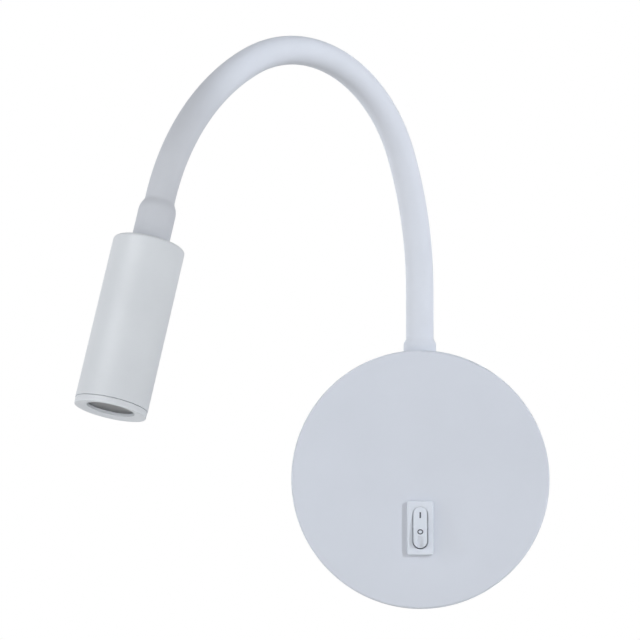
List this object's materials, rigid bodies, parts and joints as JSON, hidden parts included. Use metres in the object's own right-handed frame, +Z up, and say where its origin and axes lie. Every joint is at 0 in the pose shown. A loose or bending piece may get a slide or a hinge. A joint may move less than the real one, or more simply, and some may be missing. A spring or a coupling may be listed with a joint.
{
  "type": "wall lamp",
  "caption": "Wall reading lamp with a round base, a slim rocker switch, a sleeved flexible neck and a small cylindrical spot head.",
  "frame": {"origin": "centre of the base's back face, on the wall, midway between the two wall screw slots", "axes": "+Z up the wall, +Y into the wall, +X to the right as seen from the room"},
  "size_m": [0.1711, 0.1369, 0.2172],
  "materials": {
    "cover_coat": "matt powder coat",
    "head_coat": "matt powder coat on aluminium",
    "sleeve_silicone": "smooth matt silicone",
    "switch_plastic": "satin moulded plastic",
    "zinc_steel": "zinc plated",
    "hose_steel": "galvanised strip",
    "brass_fitting": "turned brass",
    "bare_aluminium": "turned",
    "driver_plastic": "moulded",
    "block_plastic": "moulded",
    "lead_insulation": "extruded",
    "bush_rubber": "moulded",
    "board_lacquer": "white lacquer",
    "led_phosphor": "phosphor under a clear dome",
    "holder_plastic": "moulded",
    "lens_clear": "polished clear optic"
  },
  "bodies": {
    "base": {"base_cover": "cover_coat", "wall_plate": "zinc_steel", "cover_screws": "zinc_steel", "cable_bush": "bush_rubber", "driver_case": "driver_plastic", "driver_lid": "driver_plastic", "plate_screws": "zinc_steel", "terminal_block": "block_plastic", "terminal_screws": "brass_fitting", "mains_leads": "lead_insulation", "switch_housing": "switch_plastic", "switch_terminals": "brass_fitting", "neck_washer": "zinc_steel", "neck_nut": "brass_fitting", "lower_ferrule": "zinc_steel", "sleeve_root": "sleeve_silicone", "hose_root": "hose_steel", "lead_root": "lead_insulation"},
    "rocker": {"rocker": "switch_plastic", "plunger": "brass_fitting", "plunger_spring": "zinc_steel"},
    "contact": {"contact_blade": "brass_fitting"},
    "neck_1": {"sleeve_1": "sleeve_silicone", "hose_1": "hose_steel", "lead_1": "lead_insulation"},
    "neck_2": {"sleeve_2": "sleeve_silicone", "hose_2": "hose_steel", "lead_2": "lead_insulation"},
    "neck_3": {"sleeve_3": "sleeve_silicone", "hose_3": "hose_steel", "lead_3": "lead_insulation"},
    "neck_4": {"sleeve_4": "sleeve_silicone", "hose_4": "hose_steel", "lead_4": "lead_insulation"},
    "neck_5": {"sleeve_5": "sleeve_silicone", "hose_5": "hose_steel", "lead_5": "lead_insulation"},
    "neck_6": {"sleeve_6": "sleeve_silicone", "hose_6": "hose_steel", "lead_6": "lead_insulation"},
    "neck_7": {"sleeve_7": "sleeve_silicone", "hose_7": "hose_steel", "lead_7": "lead_insulation"},
    "neck_8": {"sleeve_8": "sleeve_silicone", "hose_8": "hose_steel", "lead_8": "lead_insulation"},
    "head": {"sleeve_tip": "sleeve_silicone", "hose_tip": "hose_steel", "lead_tip": "lead_insulation", "head_tube": "head_coat", "upper_ferrule": "zinc_steel", "head_washer": "zinc_steel", "head_nut": "brass_fitting", "heat_slug": "bare_aluminium", "led_board": "board_lacquer", "led_emitter": "led_phosphor", "board_screws": "zinc_steel", "lens_holder": "holder_plastic", "lens": "lens_clear", "front_ring": "head_coat"}
  },
  "joints": [
    {"name": "neck_swing", "type": "hinge", "parent": "base", "child": "neck_1", "pos_m": [0, -0.012, 0.0745], "axis": [0, 0, 1], "range_deg": [-40, 130]},
    {"name": "lower_bend", "type": "hinge", "parent": "neck_1", "child": "neck_2", "pos_m": [-0.00183, -0.01389, 0.10123], "axis": [0.7193, -0.6947, 0], "range_deg": [-12, 6]},
    {"name": "lower_bend_2", "type": "hinge", "parent": "neck_2", "child": "neck_3", "pos_m": [-0.00724, -0.0195, 0.12693], "axis": [0.7193, -0.6947, 0], "range_deg": [-12, 6]},
    {"name": "crown_bend", "type": "hinge", "parent": "neck_3", "child": "neck_4", "pos_m": [-0.01649, -0.02907, 0.14629], "axis": [0.7193, -0.6947, 0], "range_deg": [-20, 5]},
    {"name": "crown_bend_2", "type": "hinge", "parent": "neck_4", "child": "neck_5", "pos_m": [-0.0304, -0.04348, 0.15857], "axis": [0.7193, -0.6947, 0], "range_deg": [-20, 5]},
    {"name": "crown_bend_3", "type": "hinge", "parent": "neck_5", "child": "neck_6", "pos_m": [-0.04658, -0.06024, 0.16163], "axis": [0.7193, -0.6947, 0], "range_deg": [-20, 5]},
    {"name": "upper_bend", "type": "hinge", "parent": "neck_6", "child": "neck_7", "pos_m": [-0.06223, -0.07644, 0.15496], "axis": [0.7193, -0.6947, 0], "range_deg": [-18, 8]},
    {"name": "upper_bend_2", "type": "hinge", "parent": "neck_7", "child": "neck_8", "pos_m": [-0.0812, -0.09608, 0.13226], "axis": [0.7193, -0.6947, 0], "range_deg": [-18, 8]},
    {"name": "head_tilt", "type": "hinge", "parent": "neck_8", "child": "head", "pos_m": [-0.09268, -0.10797, 0.10083], "axis": [0.6661, 0.6897, -0.284], "range_deg": [-22, 22]},
    {"name": "rocker_press", "type": "hinge", "parent": "base", "child": "rocker", "pos_m": [0, -0.024, -0.0188], "axis": [1, 0, 0], "range_deg": [0, 12]},
    {"name": "contact_rock", "type": "hinge", "parent": "base", "child": "contact", "pos_m": [0, -0.01638, -0.0188], "axis": [-1, 0, 0], "range_deg": [0, 16]}
  ],
  "couplings": [
    {"joint": "lower_bend_2", "follows": "lower_bend", "ratio": 1},
    {"joint": "crown_bend_2", "follows": "crown_bend", "ratio": 1},
    {"joint": "crown_bend_3", "follows": "crown_bend", "ratio": 1},
    {"joint": "upper_bend_2", "follows": "upper_bend", "ratio": 1},
    {"joint": "contact_rock", "follows": "rocker_press", "ratio": 1.3333}
  ]
}
